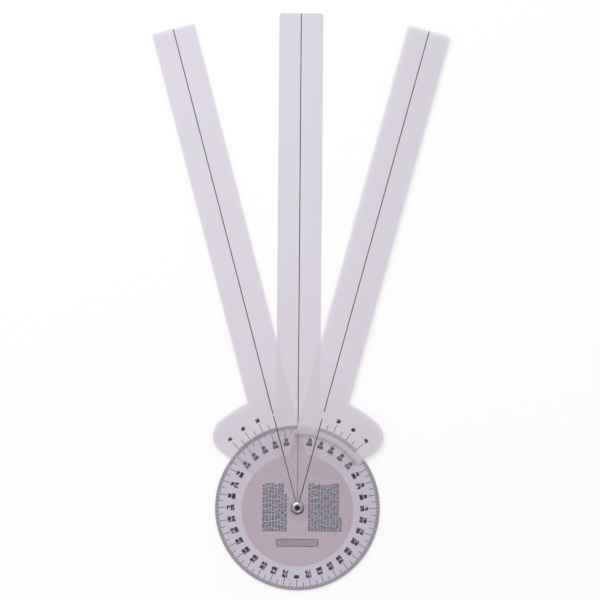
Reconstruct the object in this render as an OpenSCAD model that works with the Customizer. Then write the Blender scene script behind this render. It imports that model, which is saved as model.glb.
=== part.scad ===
// Three-arm chart protractor. A divided disc is bonded to a fixed centre arm, and a left and a
// right arm swing over it on one hollow eyelet, which takes a pencil point.
// The tool lies flat in the XY plane. The origin is on the eyelet's axis at the underside of the
// centre arm, +Y points along the centre arm to its tip, and +Z points up. Lengths are in mm.

/* [Sheets] */
// Thickness of the sheet that the three arms are cut from
arm_t = 0.8; // [0.5:0.1:2]
// Thickness of the disc's sheet
disc_t = 1; // [0.5:0.1:3]
// Thickness of the adhesive film between the centre arm and the disc
bond_t = 0.06; // [0.05:0.01:0.2]
// Thickness of a printed line
ink_t = 0.04; // [0.02:0.01:0.05]
// Free height under and over each moving arm
run_gap = 0.15; // [0.1:0.05:0.5]

/* [Arms] */
// From the pivot to the tip of every arm
arm_reach = 381; // [200:1:600]
// Width of every arm
arm_w = 33.7; // [24:0.1:40]
// Corner radius at the arms' tips
tip_r = 2; // [0.5:0.5:8]
// Diameter of the round hub at the pivot end of every arm
hub_d = 86.4; // [60:0.2:90]
// How far the hub's middle lies behind the pivot, away from the arm's tip
hub_back = 1.7; // [0:0.1:3]
// Angle from the centre arm to the left arm as it lies
left_a = 15; // [0:1:180]
// Angle from the centre arm to the right arm as it lies
right_a = 15; // [0:1:180]
// Width of the line printed along each arm
hair_w = 0.7; // [0.2:0.05:1]

/* [Wings] */
// How far a wing stands out past the rim of the disc
wing_past = 26.2; // [16:0.2:40]
// Angle from an arm's line to the end of its wing
wing_a = 39; // [35:1:60]
// Radius of the outer corner of a wing
wing_corner_r = 14.5; // [4:0.5:18]

/* [Disc] */
// Diameter of the disc
disc_d = 127; // [120:0.5:200]
// Bare margin between the rim and the graduations
rim_margin = 0.3; // [0.1:0.1:0.6]
// Length of the graduation at every tenth degree
ten_len = 8.3; // [6.5:0.1:8.6]
// Length of the graduation at every fifth degree
five_len = 5.7; // [4:0.1:6.4]
// Length of the graduation at every degree
one_len = 2.7; // [1:0.1:3.9]
// Width of the graduations
tick_w = 0.4; // [0.1:0.05:0.5]
// From the rim to the middle of the outer row of numerals
outer_row = 10.5; // [10:0.1:12]
// From the outer row of numerals to the middle of the inner row
row_step = 3.2; // [3.2:0.1:4.5]
// Height of the disc's numerals
disc_num_h = 2.4; // [1.5:0.1:2.8]

/* [Arm scales] */
// Degrees that an arm's scale covers
scale_span = 30; // [10:10:30]
// How far the scale's ticks start inside the disc's rim
scale_in = 2.3; // [1:0.1:4]
// Length of the scale's fine ticks
scale_one = 3.1; // [1:0.1:4]
// Length of the tick at every fifth degree of the scale
scale_five = 6.9; // [4.5:0.1:7.5]
// Length of the tick at every tenth degree of the scale
scale_ten = 9.4; // [8:0.1:11]
// From the rim to the middle of the scale's numerals
scale_row = 10.4; // [9.6:0.1:12]
// Height of the scale's numerals
scale_num_h = 2.8; // [1.5:0.1:3]
// Break in the left arm's line beside the numerals
left_break = 1.6; // [0.5:0.1:8]
// Break in the right arm's line beside the numerals
right_break = 5.8; // [0.5:0.1:8]

/* [Printed notes] */
// Length of the note lines, which run along Y
note_len = 37.4; // [20:0.2:44]
// Distance between neighbouring note lines
note_pitch = 2.4; // [2:0.05:2.6]
// Width of a note line
note_w = 1.3; // [0.5:0.1:1.6]
// Lines in the note block on the left
left_lines = 8; // [1:1:9]
// Lines in the note block on the right
right_lines = 11; // [1:1:11]
// From the pivot to the first note line on either side
note_x = 9.2; // [7.5:0.1:10]
// Width of the blank name frame
frame_w = 32.4; // [20:0.2:40]
// Height of the blank name frame
frame_h = 6; // [4:0.2:8]
// Corner radius of the name frame
frame_r = 1.2; // [0.6:0.1:1.8]
// From the pivot to the middle of the name frame
frame_y = 26.8; // [26:0.2:32]

/* [Eyelet] */
// Bore that the pencil point goes through
bore_d = 3.5; // [2:0.1:4]
// Wall of the eyelet's barrel
barrel_wall = 0.7; // [0.3:0.1:1]
// Outer diameter of the eyelet's rolled head
head_d = 9.4; // [8:0.2:9.6]
// Height of the rolled head above its washer
head_h = 1; // [0.5:0.1:1]
// How far the flared foot stands out past the barrel
flare = 0.6; // [0.2:0.1:0.8]
// Radial clearance between the barrel and each hole that it passes through
turn_fit = 0.05; // [0.02:0.01:0.1]
// Diameter of the washer under the head
washer_d = 10.4; // [10:0.2:14]
// Thickness of that washer
washer_t = 0.4; // [0.2:0.1:1]

/* [Hidden] */
$fn = 96;
eps = 0.01;
full_turn = 360;

disc_r = disc_d / 2;
hub_r = hub_d / 2;
wing_r = disc_r + wing_past;
bore_r = bore_d / 2;
barrel_r = bore_r + barrel_wall;
hole_r = barrel_r + turn_fit;
head_r = head_d / 2;
washer_r = washer_d / 2;

// Heights of the stack, from the face that rests on the chart upwards
centre_z = 0;
bond_z = centre_z + arm_t;
disc_z = bond_z + bond_t;
left_z = disc_z + disc_t + run_gap;
right_z = left_z + arm_t + run_gap;
washer_z = right_z + arm_t + run_gap;
head_z = washer_z + washer_t;

// Bare ends of the lines along the arms, next to the washer and at the tip
washer_gap = 0.4;
tip_gap = 0.3;
// Minutes that one tick of an arm's scale stands for
minutes_per_tick = 2;
// Bare edge of the adhesive film inside the disc's rim and around the eyelet
film_edge = 0.5;

// Radii of the printing
tick_out_r = disc_r - rim_margin;
scale_in_r = disc_r - scale_in;
hair_start = washer_r + washer_gap;
hair_end = arm_reach - tip_gap;
outer_row_r = disc_r - outer_row;
inner_row_r = outer_row_r - row_step;
scale_row_r = disc_r + scale_row;

// Bars of a plain numeral: 0 top, 1 and 2 upper left and right, 3 middle, 4 and 5 lower left and
// right, 6 bottom
DIGIT_BARS = [
    [0, 1, 2, 4, 5, 6], [2, 5], [0, 2, 3, 4, 6], [0, 2, 3, 5, 6], [1, 2, 3, 5],
    [0, 1, 3, 5, 6], [0, 1, 3, 4, 5, 6], [0, 2, 5], [0, 1, 2, 3, 4, 5, 6], [0, 1, 2, 3, 5, 6]
];

sheet_colour = "#d6d0da";
disc_colour = "#cbc4d0";
film_colour = "#e2dfe6";
ink_colour = "#3a3540";
metal_colour = "#c9cacf";

// Point at a radius and an angle clockwise from +Y
function clockwise(radius, angle) = [radius * sin(angle), radius * cos(angle)];

// ---- Outlines of the sheets ----

// The straight part of an arm, with rounded corners at its tip
module strip_outline() {
    translate([-arm_w / 2, 0]) square([arm_w, arm_reach - tip_r]);
    translate([-arm_w / 2 + tip_r, 0]) square([arm_w - 2 * tip_r, arm_reach]);
    for (side = [-1, 1]) {
        translate([side * (arm_w / 2 - tip_r), arm_reach - tip_r]) circle(r = tip_r);
    }
}

// The wing beside an arm's line, clockwise from it, with a rounded outer corner. Its outlines list
// their points anticlockwise.
module wing_outline() {
    corner_at = wing_r - wing_corner_r;
    corner_a = wing_a - asin(wing_corner_r / corner_at);
    edge_r = sqrt(pow(corner_at, 2) - pow(wing_corner_r, 2));
    intersection() {
        circle(r = wing_r);
        polygon([[0, 0], clockwise(2 * wing_r, corner_a), [0, 2 * wing_r]]);
    }
    translate(clockwise(corner_at, corner_a)) circle(r = wing_corner_r);
    polygon([[0, 0], clockwise(edge_r, wing_a), clockwise(corner_at, corner_a), [0, corner_at]]);
}

module plain_arm_outline() {
    strip_outline();
    translate([0, -hub_back]) circle(r = hub_r);
}

module winged_arm_outline() {
    plain_arm_outline();
    wing_outline();
}

// ---- The eyelet's holes ----

// The straight hole that the barrel passes through
module barrel_hole() {
    translate([0, 0, -eps]) cylinder(r = hole_r, h = head_z + 2 * eps);
}

// The countersink that takes the flared foot
module foot_seat() {
    translate([0, 0, -eps]) cylinder(r1 = hole_r + flare + eps, r2 = hole_r, h = flare + eps);
}

// ---- Printing ----

// A tick on a circle, from one radius outwards, at an angle clockwise from +Y
module tick(angle, from_r, len) {
    rotate(-angle) translate([-tick_w / 2, from_r]) square([tick_w, len]);
}

// Degree ticks over a span, each fifth and tenth one longer, outwards from from_r or inwards to it
module degree_ticks(angles, from_r, inwards, one, five, ten) {
    for (angle = angles) {
        len = angle % 10 == 0 ? ten : angle % 5 == 0 ? five : one;
        tick(angle, inwards ? from_r - len : from_r, len);
    }
}

// One bar of a plain digit whose cell is w wide and h high, with strokes s wide
module digit_bar(bar, w, h, s) {
    half = (h - s) / 2;
    if (bar % 3 == 0) {
        translate([0, h - s - bar / 3 * half]) square([w, s]);
    } else {
        column = bar == 2 || bar == 5 ? w - s : 0;
        row = bar < 3 ? half : 0;
        translate([column, row]) square([s, half + s]);
    }
}

// A plain numeral, centred, with its digits half as wide as they are high
module numeral(value, h) {
    w = h / 2;
    s = h / 6;
    pitch = w + s;
    count = len(str(value));
    width = count * pitch - s;
    for (place = [0 : count - 1]) {
        digit = floor(value / pow(10, count - 1 - place)) % 10;
        translate([place * pitch - width / 2, -h / 2]) {
            for (bar = DIGIT_BARS[digit]) digit_bar(bar, w, h, s);
        }
    }
}

// A numeral on a circle, its top outwards, at an angle clockwise from +Y
module numeral_at(value, angle, radius, h) {
    rotate(-angle) translate([0, radius]) numeral(value, h);
}

// The line along an arm, with a break in it beside the scale's numerals
module hairline_print(line_break) {
    difference() {
        translate([-hair_w / 2, hair_start]) square([hair_w, hair_end - hair_start]);
        translate([-hair_w, scale_row_r - line_break / 2]) square([2 * hair_w, line_break]);
    }
}

// One note line: word-like dashes of unlike lengths, starting at its lower end
module note_line(index, len) {
    words = 8;
    least_share = 0.66;
    share_spread = 0.24;
    line_turn = 97;
    word_turn = 61;
    slot = note_len / words;
    for (word = [0 : words - 1]) {
        share = least_share + share_spread * abs(sin(line_turn * index + word_turn * word));
        dash = slot * share;
        if (word * slot + dash <= len) {
            translate([-note_w / 2, word * slot]) square([note_w, dash]);
        }
    }
}

// ---- Lying sheets and prints ----

module laid(z, thickness) {
    translate([0, 0, z]) linear_extrude(thickness) children();
}

// An arm's own frame: the left arm is the right arm's mirror image
module as_left() {
    rotate(left_a) mirror([1, 0, 0]) children();
}

module as_right() {
    rotate(-right_a) children();
}

// ---- Pieces of the fixed body ----

module centre_arm() {
    color(sheet_colour) difference() {
        laid(centre_z, arm_t) plain_arm_outline();
        barrel_hole();
        foot_seat();
    }
}

// Stops short of the disc's rim and leaves a channel for the line printed on the centre arm
module bond_film() {
    line_room = 0.05;
    channel_w = hair_w + 2 * line_room;
    color(film_colour) laid(bond_z, bond_t) difference() {
        intersection() {
            plain_arm_outline();
            circle(r = disc_r - film_edge);
        }
        translate([-channel_w / 2, 0]) square([channel_w, arm_reach]);
        circle(r = hole_r + film_edge);
    }
}

module protractor_disc() {
    color(disc_colour) difference() {
        laid(disc_z, disc_t) circle(r = disc_r);
        barrel_hole();
        foot_seat();
    }
}

// A tube with a flared foot, rolled over into a round-topped head
module eyelet() {
    roll_mid_r = (bore_r + head_r) / 2;
    roll_half = (head_r - bore_r) / 2;
    roll_r = (pow(roll_half, 2) + pow(head_h, 2)) / (2 * head_h);
    color(metal_colour) rotate_extrude() {
        translate([bore_r, 0]) square([barrel_wall, head_z]);
        polygon([[bore_r, 0], [barrel_r + flare, 0], [barrel_r, flare], [bore_r, flare]]);
        intersection() {
            translate([roll_mid_r, head_z + head_h - roll_r]) circle(r = roll_r);
            translate([bore_r, head_z]) square([2 * roll_half, head_h + eps]);
        }
    }
}

module head_washer() {
    color(metal_colour) difference() {
        translate([0, 0, washer_z]) cylinder(r = washer_r, h = washer_t);
        barrel_hole();
    }
}

module centre_hairline() {
    color(ink_colour) laid(bond_z, ink_t) {
        translate([-hair_w / 2, hair_start]) square([hair_w, hair_end - hair_start]);
    }
}

module disc_graduations() {
    color(ink_colour) laid(disc_z + disc_t, ink_t) {
        degree_ticks([0 : full_turn - 1], tick_out_r, true, one_len, five_len, ten_len);
    }
}

// The outer row counts both ways from the centre arm, and the inner row gives the whole turn
module disc_numerals() {
    color(ink_colour) laid(disc_z + disc_t, ink_t) {
        for (angle = [10 : 10 : 170], side = [-1, 1]) {
            numeral_at(angle, side * angle, outer_row_r, disc_num_h);
            numeral_at(full_turn - angle, side * angle, inner_row_r, disc_num_h);
        }
        numeral_at(180, 180, outer_row_r, disc_num_h);
    }
}

// Two blocks of unreadable lines, one on each side of the eyelet
module note_lines() {
    rise = 0.6;
    top_y = note_len / 2 + rise;
    short_left = note_len * 0.78;
    short_right = note_len * 0.3;
    color(ink_colour) laid(disc_z + disc_t, ink_t) {
        for (i = [0 : left_lines - 1]) {
            translate([-note_x - i * note_pitch, top_y - note_len]) {
                note_line(i, i == 0 ? short_left : note_len);
            }
        }
        for (i = [0 : right_lines - 1]) {
            translate([note_x + i * note_pitch, top_y - note_len]) {
                note_line(i + left_lines, i == right_lines - 1 ? short_right : note_len);
            }
        }
    }
}

// A centred rectangle with rounded corners
module rounded_plate(w, h, r) {
    square([w - 2 * r, h], center = true);
    square([w, h - 2 * r], center = true);
    for (x = [-1, 1], y = [-1, 1]) {
        translate([x * (w / 2 - r), y * (h / 2 - r)]) circle(r = r);
    }
}

module name_frame() {
    line = 0.5;
    color(ink_colour) laid(disc_z + disc_t, ink_t) {
        translate([0, -frame_y]) difference() {
            rounded_plate(frame_w, frame_h, frame_r);
            rounded_plate(frame_w - 2 * line, frame_h - 2 * line, frame_r - line);
        }
    }
}

// ---- Pieces of a swinging arm, drawn for the right arm and mirrored for the left ----

module swing_sheet(z) {
    difference() {
        laid(z, arm_t) winged_arm_outline();
        barrel_hole();
    }
}

module scale_print() {
    degree_ticks([1 : scale_span], scale_in_r, false, scale_one, scale_five, scale_ten);
}

// The numerals run the same way round as the ticks: side is 1 clockwise and -1 anticlockwise, and
// no numeral is mirrored
module scale_numeral_print(side) {
    for (angle = [10 : 10 : scale_span]) {
        numeral_at(angle * minutes_per_tick, side * angle, scale_row_r, scale_num_h);
    }
}

module left_arm() {
    color(sheet_colour) as_left() swing_sheet(left_z);
}

module left_hairline() {
    color(ink_colour) as_left() laid(left_z + arm_t, ink_t) hairline_print(left_break);
}

module left_scale() {
    color(ink_colour) as_left() laid(left_z + arm_t, ink_t) scale_print();
}

module left_numerals() {
    color(ink_colour) rotate(left_a) laid(left_z + arm_t, ink_t) scale_numeral_print(-1);
}

module right_arm() {
    color(sheet_colour) as_right() swing_sheet(right_z);
}

module right_hairline() {
    color(ink_colour) as_right() laid(right_z + arm_t, ink_t) hairline_print(right_break);
}

module right_scale() {
    color(ink_colour) as_right() laid(right_z + arm_t, ink_t) scale_print();
}

module right_numerals() {
    color(ink_colour) as_right() laid(right_z + arm_t, ink_t) scale_numeral_print(1);
}

centre_arm();
bond_film();
protractor_disc();
left_arm();
right_arm();
eyelet();
head_washer();
centre_hairline();
disc_graduations();
disc_numerals();
note_lines();
name_frame();
left_hairline();
left_scale();
left_numerals();
right_hairline();
right_scale();
right_numerals();
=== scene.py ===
import math
import random

import bmesh
import bpy
from mathutils import Matrix, Vector


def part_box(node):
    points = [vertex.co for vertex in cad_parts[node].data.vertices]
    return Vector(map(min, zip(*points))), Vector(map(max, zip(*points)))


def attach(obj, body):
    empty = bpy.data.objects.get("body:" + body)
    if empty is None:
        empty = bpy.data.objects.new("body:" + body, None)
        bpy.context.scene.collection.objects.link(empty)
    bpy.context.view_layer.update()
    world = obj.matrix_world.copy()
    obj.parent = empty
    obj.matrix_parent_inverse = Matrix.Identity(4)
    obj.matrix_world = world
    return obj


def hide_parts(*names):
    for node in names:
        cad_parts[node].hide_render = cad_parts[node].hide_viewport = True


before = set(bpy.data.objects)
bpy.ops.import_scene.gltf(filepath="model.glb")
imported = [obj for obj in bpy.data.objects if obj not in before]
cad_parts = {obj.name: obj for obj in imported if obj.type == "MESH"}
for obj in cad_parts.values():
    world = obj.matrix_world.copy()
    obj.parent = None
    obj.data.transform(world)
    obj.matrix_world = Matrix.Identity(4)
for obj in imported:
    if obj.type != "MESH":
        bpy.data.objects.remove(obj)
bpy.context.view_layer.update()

scene = bpy.context.scene

MM = 0.001
UP = Vector((0, 0, 1))
PIVOT = Vector((0, 0, 0))

# ---- Sizes of the sheets, as in the part's source ----

ARM_W = 33.7 * MM
ARM_REACH = 381 * MM
TIP_R = 2 * MM
HUB_R = 43.2 * MM
# How far the hub's middle lies behind the pivot, away from the arm's tip
HUB_BACK = 1.7 * MM
WING_R = 89.7 * MM
WING_TURN = math.radians(39)
WING_CORNER_R = 14.5 * MM
DISC_R = 63.5 * MM
HOLE_R = 2.5 * MM
# The fixed arm's hole is wide enough for the eyelet's flared foot
FOOT_R = 3.1 * MM
LEFT_TURN = math.radians(15)
RIGHT_TURN = math.radians(-15)
INK_T = 0.04 * MM

# Heights come from the CAD nodes
CENTRE_Z, CENTRE_TOP = (corner.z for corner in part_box("centre_arm"))
DISC_Z, DISC_TOP = (corner.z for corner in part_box("protractor_disc"))
LEFT_Z, LEFT_TOP = (corner.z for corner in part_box("left_arm"))
RIGHT_Z, RIGHT_TOP = (corner.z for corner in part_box("right_arm"))
WASHER_Z, WASHER_TOP = (corner.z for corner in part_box("head_washer"))
HEAD_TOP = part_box("eyelet")[1].z

# The cut edges are eased by the die
EDGE_EASE = 0.14 * MM
# Width of the strip of even faces inside a sheet's outline, which the easing cuts into
EDGE_STRIP = 2.5 * EDGE_EASE
# Faces that meet at more than this angle, in radians, meet at a cut edge
CUT_ANGLE = 1
# Air between a sheet's face and what lies on it, so that no two faces coincide
AIR = 0.01 * MM
# Points nearer than this are one point
SAME_POINT = 0.001 * MM

# How finely round shapes are drawn
DISC_SEGMENTS = 180
HOLE_SEGMENTS = 48
WING_STEP = math.radians(2)
HUB_STEP = math.radians(3)
CORNER_STEP = math.radians(4)
TIP_STEP = math.radians(15)
BAND_STEPS = 60
TURNED_STEPS = 72
BEAD_STEPS = 14


# ---- Materials ----

# The real ones are finer: about 0.05 mm for the sheets' grain and the nickel's burnish marks, and
# 0.1 mm for the mesh that the ink was pressed through. They are drawn as coarse as they need to be
# to show.
SHEET_GRAIN = 0.35 * MM
INK_GRAIN = 0.45 * MM
BURNISH_W = 0.7 * MM
# Slow waves in the thickness of the film
FILM_WAVE = 2.5 * MM
# Widths of the patches in which a surface's tone varies
SHEET_PATCH = 110 * MM
INK_PATCH = 1.4 * MM
NICKEL_PATCH = 3.3 * MM
# Nearly all values of a noise lie between these
NOISE_LOW = 0.3
NOISE_HIGH = 0.7


def linear(hex_colour):
    """A linear colour from an sRGB hex value."""
    parts = [int(hex_colour[i : i + 2], 16) / 255 for i in (1, 3, 5)]
    return [p / 12.92 if p <= 0.04045 else ((p + 0.055) / 1.055) ** 2.4 for p in parts] + [1]


def add_node(tree, kind, values=None, links=None, **settings):
    """A node with its settings, its sockets' values and what is linked to them."""
    made = tree.nodes.new(kind)
    for name, value in settings.items():
        setattr(made, name, value)
    for key, value in (values or {}).items():
        made.inputs[key].default_value = value
    for key, socket in (links or {}).items():
        tree.links.new(socket, made.inputs[key])
    return made


def new_material(name):
    """An empty material, its tree and the object's own coordinates."""
    made = bpy.data.materials.new(name)
    made.use_nodes = True
    tree = made.node_tree
    tree.nodes.clear()
    place = add_node(tree, "ShaderNodeTexCoord").outputs["Object"]
    return made, tree, place


def finish_material(tree, values, links):
    """The surface's shader, on its way out of the tree."""
    shader = add_node(tree, "ShaderNodeBsdfPrincipled", values, links)
    add_node(tree, "ShaderNodeOutputMaterial", links={"Surface": shader.outputs["BSDF"]})


def by_distance(tree, place, near, far, low, high):
    """A value that goes from low to high between two distances from the pivot."""
    away = add_node(tree, "ShaderNodeVectorMath", links={0: place}, operation="LENGTH")
    limits = {"From Min": near, "From Max": far, "To Min": low, "To Max": high}
    made = add_node(tree, "ShaderNodeMapRange", limits, {"Value": away.outputs["Value"]})
    return made.outputs["Result"]


def tone_by_distance(tree, place, stops):
    """A colour that changes with the distance from the pivot. A stop is a distance in mm and a
    linear colour."""
    near, far = stops[0][0] * MM, stops[-1][0] * MM
    along_stops = by_distance(tree, place, near, far, 0.0, 1.0)
    made = add_node(tree, "ShaderNodeValToRGB", links={"Fac": along_stops})
    elements = made.color_ramp.elements
    for distance, _ in stops[1:-1]:
        elements.new((distance * MM - near) / (far - near))
    for element, (_, colour) in zip(elements, stops):
        element.color = colour
    return made.outputs["Color"]


def two_tone(tree, place, patch, low, high):
    """A soft blend of two colours over the surface, in patches of a given width."""
    patches = add_node(tree, "ShaderNodeTexNoise", {"Scale": 1 / patch}, {"Vector": place})
    made = add_node(tree, "ShaderNodeValToRGB", links={"Fac": patches.outputs["Fac"]})
    elements = made.color_ramp.elements
    elements[0].position = NOISE_LOW
    elements[1].position = NOISE_HIGH
    elements[0].color = linear(low)
    elements[1].color = linear(high)
    return made.outputs["Color"]


def fine_grain(tree, place, width, strength, depth, noise=None):
    """A grain of a given width, and the normals of the surface that it roughens."""
    values = {"Scale": 1 / width, **(noise or {})}
    grain = add_node(tree, "ShaderNodeTexNoise", values, {"Vector": place}).outputs["Fac"]
    relief = {"Strength": strength, "Distance": depth}
    bump = add_node(tree, "ShaderNodeBump", relief, {"Height": grain})
    return grain, bump.outputs["Normal"]


def frosted_vinyl(name, low, high, see_through, rough, outer=None):
    """Calendered PVC sheet with a matte embossed face: it passes light, veils and blurs what lies
    under it, and its body is a milky lavender. With outer given, its body is painted darker from
    one distance to another from the pivot: painted shade at the disc's cut rim and along the fixed
    arm's outer stretch."""
    made, tree, place = new_material(name)
    body = two_tone(tree, place, SHEET_PATCH, low, high)
    if outer:
        near, far, share = outer
        shade = by_distance(tree, place, near, far, 1.0, share)
        body = add_node(
            tree, "ShaderNodeVectorMath", links={0: body, 1: shade}, operation="MULTIPLY"
        ).outputs["Vector"]
    grain, normal = fine_grain(
        tree,
        place,
        SHEET_GRAIN,
        strength=0.25,
        depth=0.02 * MM,
        noise={"Detail": 3.0, "Roughness": 0.6},
    )
    spread = {"To Min": rough[0], "To Max": rough[1]}
    dull = add_node(tree, "ShaderNodeMapRange", spread, {"Value": grain}).outputs["Result"]
    finish_material(
        tree,
        {"IOR": 1.25, "Transmission Weight": see_through},
        {"Base Color": body, "Roughness": dull, "Normal": normal},
    )
    return made


def clear_film():
    """Acrylic transfer adhesive: a clear soft film that wets both sheets, so almost nothing of it
    shows."""
    made, tree, place = new_material("acrylic transfer adhesive")
    _, normal = fine_grain(tree, place, FILM_WAVE, strength=0.1, depth=0.01 * MM)
    finish_material(
        tree,
        {"Base Color": linear("#E9E4EE"), "Roughness": 0.25, "IOR": 1.47, "Alpha": 0.006},
        {"Normal": normal},
    )
    return made


def printed_ink(name, low, high, cover=1.0, faint=None):
    """Screen-printed vinyl ink: dull, and a little uneven where the mesh left less. A thin tint
    covers only a part of what is under it, and a faint print covers less up to a distance along
    its line from the pivot."""
    made, tree, place = new_material(name)
    _, normal = fine_grain(tree, place, INK_GRAIN, strength=0.2, depth=0.01 * MM)
    links = {"Base Color": two_tone(tree, place, INK_PATCH, low, high), "Normal": normal}
    if faint:
        near, far, share = faint
        along_line = add_node(tree, "ShaderNodeSeparateXYZ", links={"Vector": place}).outputs["Y"]
        links["Alpha"] = add_node(
            tree,
            "ShaderNodeMapRange",
            {"From Min": near, "From Max": far, "To Min": share, "To Max": cover},
            {"Value": along_line},
        ).outputs["Result"]
    finish_material(tree, {"Roughness": 0.62, "IOR": 1.5, "Alpha": cover}, links)
    return made


def see_through_ink(name, low, high):
    """Thin printing that tints the light that passes it, as small type does, and hardly bends
    it."""
    made, tree, place = new_material(name)
    _, normal = fine_grain(tree, place, INK_GRAIN, strength=0.1, depth=0.01 * MM)
    finish_material(
        tree,
        {"Roughness": 0.3, "IOR": 1.03, "Transmission Weight": 0.96},
        {"Base Color": two_tone(tree, place, INK_PATCH, low, high), "Normal": normal},
    )
    return made


def nickel_plate(name, low, high, rough):
    """Nickel on drawn brass: grey metal with fine burnish marks, dark where it has dulled."""
    made, tree, place = new_material(name)
    marks, normal = fine_grain(
        tree, place, BURNISH_W, strength=0.15, depth=0.02 * MM, noise={"Detail": 4.0}
    )
    spread = {"To Min": rough[0], "To Max": rough[1]}
    dull = add_node(tree, "ShaderNodeMapRange", spread, {"Value": marks}).outputs["Result"]
    body = two_tone(tree, place, NICKEL_PATCH, low, high)
    finish_material(
        tree, {"Metallic": 1.0}, {"Base Color": body, "Roughness": dull, "Normal": normal}
    )
    return made


# Distance from the pivot in mm, then the tone there and how much one face of the band covers.
# The dark inner stops are painted shadow.
BAND_STOPS = (
    (54.1, "#4A444C", 0.0),
    (54.9, "#4A444C", 0.09),
    (56.3, "#4A444C", 0.08),
    (57.6, "#CFC8D3", 0.6),
    (61.6, "#DCD6E1", 0.6),
    (64.2, "#E6DFEA", 0.6),
    (66.0, "#E8E2EC", 0.0),
)


def rubbed_vinyl():
    """A pale PVC band over the disc's rim under it, which veils the rim. Its inner side is painted
    dark: painted shadow along the band's inner border."""
    made, tree, place = new_material("pale PVC band with painted shadow")
    tones = [(distance, linear(colour)) for distance, colour, _ in BAND_STOPS]
    covers = [(distance, (share, share, share, 1)) for distance, _, share in BAND_STOPS]
    links = {
        "Base Color": tone_by_distance(tree, place, tones),
        "Alpha": tone_by_distance(tree, place, covers),
    }
    finish_material(tree, {"Roughness": 0.6, "IOR": 1.5}, links)
    return made


ARM_SHEET = frosted_vinyl(
    "frosted PVC sheet of the arms", "#FCF8F9", "#FEFBFC", see_through=0.928, rough=(0.25, 0.34)
)
CENTRE_SHEET = frosted_vinyl(
    "frosted PVC sheet of the fixed arm",
    "#FBF9F9",
    "#FDFBFB",
    see_through=0.994,
    rough=(0.2, 0.27),
    # Painted shade: the fixed arm's body is darker from 80 mm to 110 mm out
    outer=(80 * MM, 110 * MM, 0.955),
)
DISC_SHEET = frosted_vinyl(
    "frosted PVC sheet of the disc",
    "#EAE3E9",
    "#EDE6EC",
    see_through=0.985,
    rough=(0.3, 0.42),
    # Painted shade at the cut rim: the disc's body is darker from 60.6 mm out
    outer=(60.6 * MM, 62.2 * MM, 0.84),
)
FILM = clear_film()
INK = printed_ink("screen-printed vinyl ink", "#1C131D", "#291E2B")
LINE_INK = printed_ink(
    "vinyl ink, faint where the disc covers it",
    "#1C131D",
    "#291E2B",
    faint=(58 * MM, 64 * MM, 0.45),
)
NOTE_INK = see_through_ink("thin blue-grey vinyl ink", "#578094", "#628A9D")
FRAME_INK = printed_ink("screen-printed blue ink", "#123058", "#1B3B68")
PANEL_TINT = printed_ink("thin see-through tint", "#4C5163", "#575D70", cover=0.22)
PALE_BAND_PAINTED_SHADOW = rubbed_vinyl()
NICKEL = nickel_plate("bright nickel plate", "#A8A2B0", "#C6C0CE", rough=(0.2, 0.32))
# The washer's nickel is painted darker: painted shade under the eyelet's head
NICKEL_PAINTED_SHADE = nickel_plate("nickel plate painted darker for shade", "#8E8A8F", "#A29EA3", rough=(0.3, 0.45))

# The CAD nodes that are seen as they are
for node_name, material in (
    ("bond_film", FILM),
    ("centre_hairline", LINE_INK),
    ("disc_graduations", INK),
    ("name_frame", FRAME_INK),
    ("left_hairline", INK),
    ("left_scale", INK),
    ("right_hairline", INK),
    ("right_scale", INK),
):
    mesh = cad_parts[node_name].data
    mesh.materials.clear()
    mesh.materials.append(material)


# ---- Making pieces ----


def new_piece(name, body, bm, material, replaced=(), smooth=False):
    """A finished piece from a bmesh, in place, on its body."""
    bmesh.ops.remove_doubles(bm, verts=bm.verts, dist=SAME_POINT)
    bmesh.ops.recalc_face_normals(bm, faces=bm.faces)
    mesh = bpy.data.meshes.new(name)
    bm.to_mesh(mesh)
    bm.free()
    mesh.materials.append(material)
    for face in mesh.polygons:
        face.use_smooth = smooth
    piece = bpy.data.objects.new(name, mesh)
    scene.collection.objects.link(piece)
    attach(piece, body)
    if replaced:
        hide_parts(*replaced)


def clockwise(radius, turn):
    """A point at a radius and an angle clockwise from +Y."""
    return Vector((radius * math.sin(turn), radius * math.cos(turn), 0))


def line_to(bm, start, point):
    """Draws a straight edge and returns its new vertex."""
    made = bmesh.ops.extrude_vert_indiv(bm, verts=[start])["verts"][0]
    made.co = point
    return made


def angle_of(point, centre):
    """The angle of a point about a centre, anticlockwise from +X."""
    return math.atan2(point.y - centre.y, point.x - centre.x)


def arc_to(bm, start, centre, end, step):
    """Draws the anticlockwise arc from a vertex to a point, about their centre, and returns its
    last vertex."""
    turn = (angle_of(end, centre) - angle_of(start.co, centre)) % math.tau
    steps = max(2, math.ceil(turn / step))
    made = bmesh.ops.spin(bm, geom=[start], cent=centre, axis=UP, angle=turn, steps=steps)
    return next(part for part in made["geom_last"] if isinstance(part, bmesh.types.BMVert))


def swept(bm, angle, steps, closed=False):
    """Sweeps what is drawn round the eyelet's axis."""
    bmesh.ops.spin(
        bm,
        geom=bm.verts[:] + bm.edges[:],
        cent=PIVOT,
        axis=UP,
        angle=angle,
        steps=steps,
        use_merge=closed,
    )


def thickened(bm, height):
    """Gives flat faces a thickness, upwards."""
    made = bmesh.ops.extrude_face_region(bm, geom=bm.faces[:])["geom"]
    raised = [part for part in made if isinstance(part, bmesh.types.BMVert)]
    bmesh.ops.translate(bm, verts=raised, vec=(0, 0, height))


# ---- The sheets ----


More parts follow.
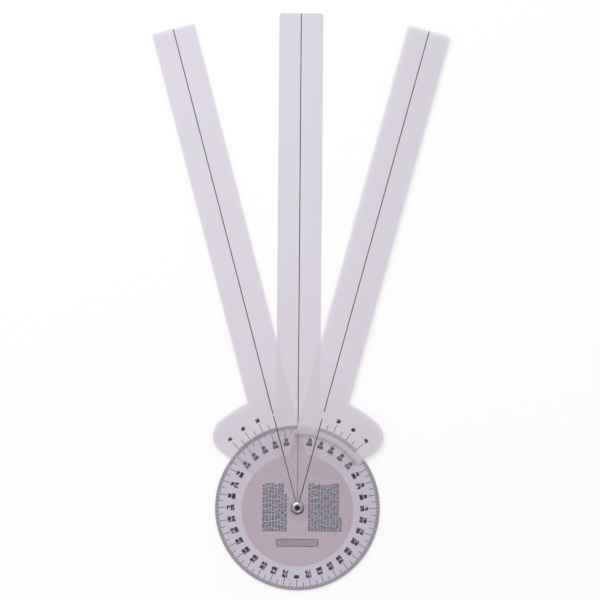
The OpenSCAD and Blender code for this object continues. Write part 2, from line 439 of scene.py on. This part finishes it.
def draw_arm(bm, winged):
    """The outline of an arm that points along +Y, anticlockwise from the hub's right-hand side,
    with its wing on the right if it has one."""
    half = ARM_W / 2
    hub = Vector((0, -HUB_BACK, 0))
    root_y = hub.y + math.sqrt(HUB_R**2 - half**2)
    tips = [Vector((side * (half - TIP_R), ARM_REACH - TIP_R, 0)) for side in (1, -1)]
    if winged:
        corner_at = WING_R - WING_CORNER_R
        corner_turn = WING_TURN - math.asin(WING_CORNER_R / corner_at)
        corner = clockwise(corner_at, corner_turn)
        edge_end = math.sqrt(corner_at**2 - WING_CORNER_R**2)
        off_line = HUB_BACK * math.sin(WING_TURN)
        edge_start = math.sqrt(HUB_R**2 - off_line**2) - HUB_BACK * math.cos(WING_TURN)
        first = bm.verts.new(clockwise(edge_start, WING_TURN))
        pen = line_to(bm, first, clockwise(edge_end, WING_TURN))
        pen = arc_to(bm, pen, corner, clockwise(WING_R, corner_turn), CORNER_STEP)
        wing_root = clockwise(WING_R, math.asin(half / WING_R))
        pen = arc_to(bm, pen, PIVOT, wing_root, WING_STEP)
    else:
        first = bm.verts.new((half, root_y, 0))
        pen = first
    pen = line_to(bm, pen, tips[0] + Vector((TIP_R, 0, 0)))
    pen = arc_to(bm, pen, tips[0], tips[0] + Vector((0, TIP_R, 0)), TIP_STEP)
    pen = line_to(bm, pen, tips[1] + Vector((0, TIP_R, 0)))
    pen = arc_to(bm, pen, tips[1], tips[1] - Vector((TIP_R, 0, 0)), TIP_STEP)
    pen = line_to(bm, pen, Vector((-half, root_y, 0)))
    arc_to(bm, pen, hub, first.co, HUB_STEP)


def cut_sheet(bm, bottom, top, hole_r):
    """Fills the drawn outline around the eyelet's hole, and gives the sheet its thickness and its
    eased cut edges."""
    bmesh.ops.create_circle(bm, cap_ends=False, segments=HOLE_SEGMENTS, radius=hole_r)
    bmesh.ops.remove_doubles(bm, verts=bm.verts, dist=SAME_POINT)
    bmesh.ops.triangle_fill(bm, use_beauty=True, edges=bm.edges[:], normal=UP)
    bmesh.ops.inset_region(
        bm, faces=bm.faces[:], thickness=EDGE_STRIP, use_boundary=True, use_even_offset=True
    )
    thickened(bm, top - bottom - 2 * AIR)
    bmesh.ops.recalc_face_normals(bm, faces=bm.faces)
    rims = [edge for edge in bm.edges if edge.is_manifold and edge.calc_face_angle() > CUT_ANGLE]
    bmesh.ops.bevel(
        bm,
        geom=rims,
        offset=EDGE_EASE,
        segments=2,
        profile=0.5,
        affect="EDGES",
        material=-1,
        clamp_overlap=True,
    )
    bmesh.ops.translate(bm, verts=bm.verts, vec=(0, 0, bottom + AIR))


bm = bmesh.new()
draw_arm(bm, winged=False)
cut_sheet(bm, CENTRE_Z, CENTRE_TOP, FOOT_R)
new_piece("centre_arm_sheet", "base", bm, CENTRE_SHEET, ["centre_arm"])

bm = bmesh.new()
bmesh.ops.create_circle(bm, cap_ends=False, segments=DISC_SEGMENTS, radius=DISC_R)
cut_sheet(bm, DISC_Z, DISC_TOP, HOLE_R)
new_piece("disc_sheet", "base", bm, DISC_SHEET, ["protractor_disc"])

for side, turn, bottom, top in (
    ("right", RIGHT_TURN, RIGHT_Z, RIGHT_TOP),
    ("left", LEFT_TURN, LEFT_Z, LEFT_TOP),
):
    bm = bmesh.new()
    draw_arm(bm, winged=True)
    if side == "left":
        bmesh.ops.scale(bm, verts=bm.verts, vec=(-1, 1, 1))
    bmesh.ops.rotate(bm, verts=bm.verts, matrix=Matrix.Rotation(turn, 3, "Z"))
    cut_sheet(bm, bottom, top, HOLE_R)
    new_piece(side + "_arm_sheet", side, bm, ARM_SHEET, [side + "_arm"])


# ---- The numerals ----

OUTER_ROW_R = 53.0 * MM
INNER_ROW_R = 49.9 * MM
SCALE_ROW_R = 73.9 * MM
DISC_NUMERAL_H = 2.95 * MM
SCALE_NUMERAL_H = 3.1 * MM
# Degrees from one numeral to the next
NUMERAL_STEP = 10
# The numeral at each number of degrees from an arm's line
SCALE_NUMERALS = {10: 20, 20: 40, 30: 60}
# Width of a digit of the condensed face as a share of the same digit in the built-in face
CONDENSED = 0.86
# How much the strokes are fattened, in the built-in face's own units
BOLDER = 0.09


def numeral_mesh(text):
    """A bold plain numeral as a flat mesh one unit thick, centred, its digits about 0.73 high."""
    words = bpy.data.curves.new("numeral", "FONT")
    words.body = text
    words.align_x = "CENTER"
    words.align_y = "CENTER"
    words.offset = BOLDER
    words.extrude = 0.5
    words.resolution_u = 3
    holder = bpy.data.objects.new("numeral", words)
    scene.collection.objects.link(holder)
    bpy.context.view_layer.update()
    ready = holder.evaluated_get(bpy.context.evaluated_depsgraph_get())
    mesh = bpy.data.meshes.new_from_object(ready)
    bpy.data.objects.remove(holder)
    bpy.data.curves.remove(words)
    return mesh


zero = numeral_mesh("0")
DIGIT_LOW = min(vertex.co.y for vertex in zero.vertices)
DIGIT_HIGH = max(vertex.co.y for vertex in zero.vertices)
bpy.data.meshes.remove(zero)


def place_numeral(bm, value, turn, radius, height, bottom, base_turn=0.0):
    """A numeral on a circle, its top outwards, at an angle clockwise from an arm's line."""
    mesh = numeral_mesh(str(value))
    size = height / (DIGIT_HIGH - DIGIT_LOW)
    mesh.transform(Matrix.Translation((0, -(DIGIT_HIGH + DIGIT_LOW) / 2, 0.5)))
    mesh.transform(Matrix.Diagonal((size * CONDENSED, size, INK_T, 1)))
    mesh.transform(Matrix.Translation((0, radius, bottom)))
    mesh.transform(Matrix.Rotation(base_turn - turn, 4, "Z"))
    bm.from_mesh(mesh)
    bpy.data.meshes.remove(mesh)


bm = bmesh.new()
for degrees in range(NUMERAL_STEP, 180, NUMERAL_STEP):
    for way in (-1, 1):
        turn = math.radians(way * degrees)
        place_numeral(bm, degrees, turn, OUTER_ROW_R, DISC_NUMERAL_H, DISC_TOP)
        place_numeral(bm, 360 - degrees, turn, INNER_ROW_R, DISC_NUMERAL_H, DISC_TOP)
place_numeral(bm, 180, math.pi, OUTER_ROW_R, DISC_NUMERAL_H, DISC_TOP)
new_piece("disc_numeral_print", "base", bm, INK, ["disc_numerals"])

for side, way, arm_turn, top in (
    ("left", -1, LEFT_TURN, LEFT_TOP),
    ("right", 1, RIGHT_TURN, RIGHT_TOP),
):
    bm = bmesh.new()
    for degrees, value in SCALE_NUMERALS.items():
        turn = way * math.radians(degrees)
        place_numeral(bm, value, turn, SCALE_ROW_R, SCALE_NUMERAL_H, top, arm_turn)
    new_piece(side + "_numeral_print", side, bm, INK, [side + "_numerals"])


# ---- The pale band on the right arm, over the disc's rim, with painted shadow on its inner side ----

BAND_IN_R = BAND_STOPS[0][0] * MM
BAND_OUT_R = BAND_STOPS[-1][0] * MM
# The band's ends, clockwise from the arm's line. The first lies past the arm's left edge, where the
# band is cut off.
BAND_START = math.radians(-22)
BAND_END = math.radians(38.6)
BAND_CUT_X = 2 * EDGE_EASE - ARM_W / 2
BAND_LIFT = 0.006 * MM
BAND_T = 0.01 * MM

bm = bmesh.new()
pen = bm.verts.new(clockwise(BAND_IN_R, BAND_START))
line_to(bm, pen, clockwise(BAND_OUT_R, BAND_START))
swept(bm, BAND_START - BAND_END, BAND_STEPS)
bmesh.ops.bisect_plane(
    bm,
    geom=bm.verts[:] + bm.edges[:] + bm.faces[:],
    plane_co=(BAND_CUT_X, 0, 0),
    plane_no=(-1, 0, 0),
    clear_outer=True,
)
thickened(bm, BAND_T)
bmesh.ops.translate(bm, verts=bm.verts, vec=(0, 0, RIGHT_TOP + BAND_LIFT))
bmesh.ops.rotate(bm, verts=bm.verts, matrix=Matrix.Rotation(RIGHT_TURN, 3, "Z"))
new_piece("right_pale_band", "right", bm, PALE_BAND_PAINTED_SHADOW)


# ---- The notes: strokes like small type that can't be read, in lines that run along +Y ----

NOTE_LEN = 37.4 * MM
NOTE_TOP = 19.3 * MM
# From the disc's middle to the first line of each block, and from line to line
NOTE_X = 9.2 * MM
NOTE_PITCH = 2.4 * MM
LEFT_LINES = 8
RIGHT_LINES = 11
# Lengths of the left block's first line and the right block's last one, as shares of a full line
LEFT_FIRST_SHARE = 0.78
RIGHT_LAST_SHARE = 0.3
# A stroke's thickness, the way to the next one, and the heights of a short and a tall stroke
STROKE_T = 0.42 * MM
STROKE_PITCH = 0.5 * MM
BODY_H = 1.8 * MM
TALL_H = 2.15 * MM
# Strokes in the shortest and the longest word, and the gap after a word in stroke pitches
WORD_STROKES = (3, 10)
WORD_GAP = 1.1
# A random draw above the first value makes a stroke reach above the body, and a draw below the
# second makes it reach under it
RISES_ABOVE = 0.72
DROPS_BELOW = 0.1
# Share of strokes that have a crossbar, and its heights as shares of the body
BAR_SHARE = 0.55
BAR_HEIGHTS = (0.1, 0.45, 0.8)
# Least and greatest way to the next stroke, in pitches
PITCH_SPREAD = (0.9, 1.15)


def note_stroke(bm, x_low, x_high, y_low, y_high):
    """A box of ink on the disc's face."""
    middle = ((x_low + x_high) / 2, (y_low + y_high) / 2, DISC_TOP + INK_T / 2)
    size = Matrix.Diagonal((x_high - x_low, y_high - y_low, INK_T, 1))
    bmesh.ops.create_cube(bm, size=1, matrix=Matrix.Translation(middle) @ size)


def note_line(bm, draw, x_mid, length):
    """Words of letter-like strokes from the line's lower end upwards."""
    y = NOTE_TOP - NOTE_LEN
    end = y + length
    while y < end - WORD_STROKES[0] * STROKE_PITCH:
        for _ in range(draw.randint(*WORD_STROKES)):
            if y > end - STROKE_PITCH:
                break
            kind = draw.random()
            low = x_mid - BODY_H / 2
            high = low + (TALL_H if kind > RISES_ABOVE else BODY_H)
            low -= TALL_H - BODY_H if kind < DROPS_BELOW else 0
            note_stroke(bm, low, high, y, y + STROKE_T)
            if draw.random() < BAR_SHARE:
                bar = low + draw.choice(BAR_HEIGHTS) * BODY_H
                note_stroke(bm, bar, bar + STROKE_T, y + STROKE_T, y + STROKE_PITCH)
            y += STROKE_PITCH * draw.uniform(*PITCH_SPREAD)
        y += WORD_GAP * STROKE_PITCH


bm = bmesh.new()
draw = random.Random(5)
for i in range(LEFT_LINES):
    share = LEFT_FIRST_SHARE if i == 0 else 1
    note_line(bm, draw, -NOTE_X - i * NOTE_PITCH, NOTE_LEN * share)
for i in range(RIGHT_LINES):
    share = RIGHT_LAST_SHARE if i == RIGHT_LINES - 1 else 1
    note_line(bm, draw, NOTE_X + i * NOTE_PITCH, NOTE_LEN * share)
new_piece("note_print", "base", bm, NOTE_INK, ["note_lines"])


# ---- The blank name panel's tinted ground, inside its printed frame ----

# How much shorter and narrower the ground is than the frame, and how much thinner than its ink
PANEL_LESS = 0.9 * MM
PANEL_THINNER = 0.01 * MM
PANEL_CORNER_R = 0.75 * MM

panel_low, panel_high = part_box("name_frame")
panel_mid = Matrix.Translation((panel_low + panel_high) / 2)
panel_size = panel_high - panel_low - Vector((PANEL_LESS, PANEL_LESS, PANEL_THINNER))
bm = bmesh.new()
bmesh.ops.create_cube(bm, size=1, matrix=panel_mid @ Matrix.Diagonal((*panel_size, 1)))
corners = [edge for edge in bm.edges if abs(edge.verts[0].co.z - edge.verts[1].co.z) > INK_T / 2]
bmesh.ops.bevel(
    bm,
    geom=corners,
    offset=PANEL_CORNER_R,
    segments=4,
    profile=0.5,
    affect="EDGES",
    material=-1,
)
new_piece("name_panel", "base", bm, PANEL_TINT)


# ---- The eyelet and its washer ----

BORE_R = 1.75 * MM
BARREL_R = 2.45 * MM
HEAD_R = 4.7 * MM
# Where the rolled head is highest
CREST_R = 2.45 * MM
# The roll's outer foot stands off the washer, and its underside starts inside its rim
ROLL_LIFT = 0.02 * MM
ROLL_IN = 0.35 * MM
WASHER_R = 5.2 * MM
WASHER_EASE = 0.12 * MM
FLARE = 0.6 * MM


def draw_profile(bm, points):
    """A closed profile of straight runs through its points, which are pairs of a radius and a
    height."""
    corners = [Vector((radius, 0, height)) for radius, height in points]
    first = bm.verts.new(corners[0])
    pen = first
    for corner in corners[1:]:
        pen = line_to(bm, pen, corner)
    bm.edges.new((pen, first))


def bead_points(inner, crest, outer, base, top):
    """Points over a rolled bead, from its inner foot over its crest to its outer foot."""
    points = []
    for i in range(BEAD_STEPS + 1):
        turn = math.pi * (1 - i / BEAD_STEPS)
        reach = (crest - inner) if i < BEAD_STEPS / 2 else (outer - crest)
        points.append((crest + reach * math.cos(turn), base + (top - base) * math.sin(turn)))
    return points


bm = bmesh.new()
draw_profile(
    bm,
    [
        (BORE_R, 0),
        *bead_points(BORE_R, CREST_R, HEAD_R, WASHER_TOP + ROLL_LIFT, HEAD_TOP),
        (HEAD_R - ROLL_IN, WASHER_TOP),
        (BARREL_R, WASHER_TOP),
        (BARREL_R, FLARE),
        (BARREL_R + FLARE, 0),
    ],
)
swept(bm, math.tau, TURNED_STEPS, closed=True)
new_piece("eyelet_shell", "base", bm, NICKEL, ["eyelet"], smooth=True)

bm = bmesh.new()
draw_profile(
    bm,
    [
        (HOLE_R, WASHER_Z),
        (HOLE_R, WASHER_TOP),
        (WASHER_R - WASHER_EASE, WASHER_TOP),
        (WASHER_R, WASHER_TOP - WASHER_EASE),
        (WASHER_R, WASHER_Z),
    ],
)
swept(bm, math.tau, TURNED_STEPS, closed=True)
# The washer wears the darker nickel, painted shade under the head
new_piece("washer_ring", "base", bm, NICKEL_PAINTED_SHADE, ["head_washer"])


# ---- The floor, a white card ----

FLOOR_Z = -0.05 * MM
FLOOR_HALF = 8

bm = bmesh.new()
bmesh.ops.create_grid(bm, x_segments=1, y_segments=1, size=FLOOR_HALF)
bmesh.ops.translate(bm, verts=bm.verts, vec=(0, 0, FLOOR_Z))
floor_mesh = bpy.data.meshes.new("floor")
bm.to_mesh(floor_mesh)
bm.free()
floor = bpy.data.objects.new("floor", floor_mesh)
scene.collection.objects.link(floor)

# The card's glow through the sheets, painted by distance from the pivot in mm: a painted shade
# of the card under the tool, a little blue, pinker under the hubs
UNDER_TONES = (
    (41, "#F5EDF8"),
    (46, "#F5F3FF"),
    (64, "#F5F3FF"),
    (75, "#F5EFFC"),
    (150, "#F5EFFC"),
    (210, "#F5F3FF"),
)

# The card glows white to the camera, to metal and through the sheets. What doesn't glow is lit,
# so that it keeps a part of the tool's shadow. How much glows is painted by the distance from the
# pivot and along X: painted shade under the disc and the wings, which lie higher, close to the
# eyelet and to the right, and painted light under the hubs and towards the tips. Through the
# sheets the glow is painted a little blue or pink, a painted shade of the card under the tool.
# The card is painted dark at the bottom of the eyelet's hole, a painted shade.
card, tree, place = new_material("white card")
# Inside the hole's rim the glow is cut and the card is painted dark: painted shade at the bottom of
# the eyelet's hole
open_floor = by_distance(tree, place, 1.6 * MM, 2.6 * MM, 0.03, 1.0)
# Painted shade near the disc, round the eyelet and to the right; painted light under the hubs and
# towards the tips
painted_shade_near_disc = by_distance(tree, place, 70 * MM, 115 * MM, 0.715, 0.79)
painted_shadow_round_eyelet = by_distance(tree, place, 5.5 * MM, 13 * MM, 0.84, 1.0)
painted_light_under_hubs = by_distance(tree, place, 41 * MM, 46 * MM, 1.12, 1.0)
painted_light_towards_tips = by_distance(tree, place, 115 * MM, 330 * MM, 1.0, 1.06)
painted_shade_rightwards = add_node(
    tree,
    "ShaderNodeMapRange",
    {"From Min": 0.0, "From Max": 110 * MM, "To Min": 1.0, "To Max": 0.89},
    {"Value": add_node(tree, "ShaderNodeSeparateXYZ", links={"Vector": place}).outputs["X"]},
).outputs["Result"]
rays = add_node(tree, "ShaderNodeLightPath").outputs
glow_share = rays["Is Camera Ray"]
for other in (rays["Is Glossy Ray"], rays["Is Transmission Ray"]):
    glow_share = add_node(
        tree, "ShaderNodeMath", links={0: glow_share, 1: other}, operation="MAXIMUM"
    ).outputs[0]
for factor in (open_floor, painted_shade_near_disc, painted_shadow_round_eyelet, painted_light_under_hubs, painted_light_towards_tips, painted_shade_rightwards):
    glow_share = add_node(
        tree, "ShaderNodeMath", links={0: glow_share, 1: factor}, operation="MULTIPLY"
    ).outputs[0]
plain_tone = add_node(
    tree,
    "ShaderNodeMix",
    {6: linear("#1A1A1C"), 7: linear("#FFFFFF")},
    {0: open_floor},
    data_type="RGBA",
).outputs[2]
under_tone = tone_by_distance(
    tree, place, [(distance, linear(colour)) for distance, colour in UNDER_TONES]
)
# Through the sheets the glow takes the painted shade tones
glow_tone = add_node(
    tree,
    "ShaderNodeMix",
    {6: linear("#FFFFFF")},
    {0: rays["Is Transmission Ray"], 7: under_tone},
    data_type="RGBA",
).outputs[2]
plain = add_node(tree, "ShaderNodeBsdfDiffuse", links={"Color": plain_tone})
glow = add_node(tree, "ShaderNodeEmission", {"Strength": 1.0}, {"Color": glow_tone})
mixed = add_node(
    tree, "ShaderNodeMixShader", links={0: glow_share, 1: plain.outputs[0], 2: glow.outputs[0]}
)
add_node(tree, "ShaderNodeOutputMaterial", links={"Surface": mixed.outputs[0]})
floor.data.materials.append(card)


# ---- The light ----

# Towards the palest part of the room, which is up beyond the arms' tips. About one unit long.
PALE_WAY = (-0.15, 0.74, 0.65)
LAMP_AT = Vector((-0.5, 1.2, 1.5))
LAMP_AIM = Vector((0, 0.12, 0))
LAMP_SIDE = 0.8
LAMP_POWER = 16

# A soft daylight room, which is plain white to the camera and through the sheets
world = bpy.data.worlds.new("soft room")
scene.world = world
world.use_nodes = True
tree = world.node_tree
tree.nodes.clear()
way = add_node(tree, "ShaderNodeTexCoord").outputs["Generated"]
slant = add_node(
    tree, "ShaderNodeVectorMath", {1: PALE_WAY}, {0: way}, operation="DOT_PRODUCT"
).outputs["Value"]
strength = add_node(
    tree,
    "ShaderNodeMapRange",
    {"From Min": -0.35, "From Max": 1.0, "To Min": 0.04, "To Max": 1.0},
    {"Value": slant},
).outputs["Result"]
rays = add_node(tree, "ShaderNodeLightPath").outputs
for other in (rays["Is Camera Ray"], rays["Is Transmission Ray"]):
    strength = add_node(
        tree, "ShaderNodeMath", links={0: strength, 1: other}, operation="MAXIMUM"
    ).outputs[0]
sky = add_node(
    tree, "ShaderNodeBackground", {"Color": linear("#FFFFFF")}, {"Strength": strength}
)
add_node(tree, "ShaderNodeOutputWorld", links={"Surface": sky.outputs[0]})

lamp_data = bpy.data.lights.new("soft lamp", "AREA")
lamp_data.shape = "SQUARE"
lamp_data.size = LAMP_SIDE
lamp_data.energy = LAMP_POWER
lamp = bpy.data.objects.new("soft lamp", lamp_data)
lamp.location = LAMP_AT
lamp.rotation_mode = "QUATERNION"
lamp.rotation_quaternion = (LAMP_AIM - LAMP_AT).to_track_quat("-Z", "Y")
scene.collection.objects.link(lamp)


# ---- The camera ----

PHOTO_PX = 600
MM_PER_PX = 0.77
LENS = 150
SENSOR = 36
FAR_CLIP = 50
# Where the pivot is in the picture, and how far the tool leans clockwise in it
PIVOT_PX = (297.4, 508.0)
LEAN = math.radians(0.462)

across = Vector((math.cos(LEAN), math.sin(LEAN), 0))
along = Vector((-math.sin(LEAN), math.cos(LEAN), 0))
right_shift = (PHOTO_PX / 2 - PIVOT_PX[0]) * MM_PER_PX * MM
up_shift = (PIVOT_PX[1] - PHOTO_PX / 2) * MM_PER_PX * MM
height = PHOTO_PX * MM_PER_PX * MM * LENS / SENSOR
camera_data = bpy.data.cameras.new("camera")
camera_data.lens = LENS
camera_data.sensor_width = SENSOR
camera_data.clip_end = FAR_CLIP
camera = bpy.data.objects.new("camera", camera_data)
camera.location = across * right_shift + along * up_shift + UP * (DISC_TOP + height)
camera.rotation_euler = (0, 0, LEAN)
scene.collection.objects.link(camera)
scene.camera = camera

# The stack of see-through sheets has more faces than Cycles follows by default
scene.cycles.max_bounces = 40
scene.cycles.transmission_bounces = 36
scene.cycles.transparent_max_bounces = 40
scene.cycles.caustics_refractive = False
scene.view_settings.view_transform = "Standard"
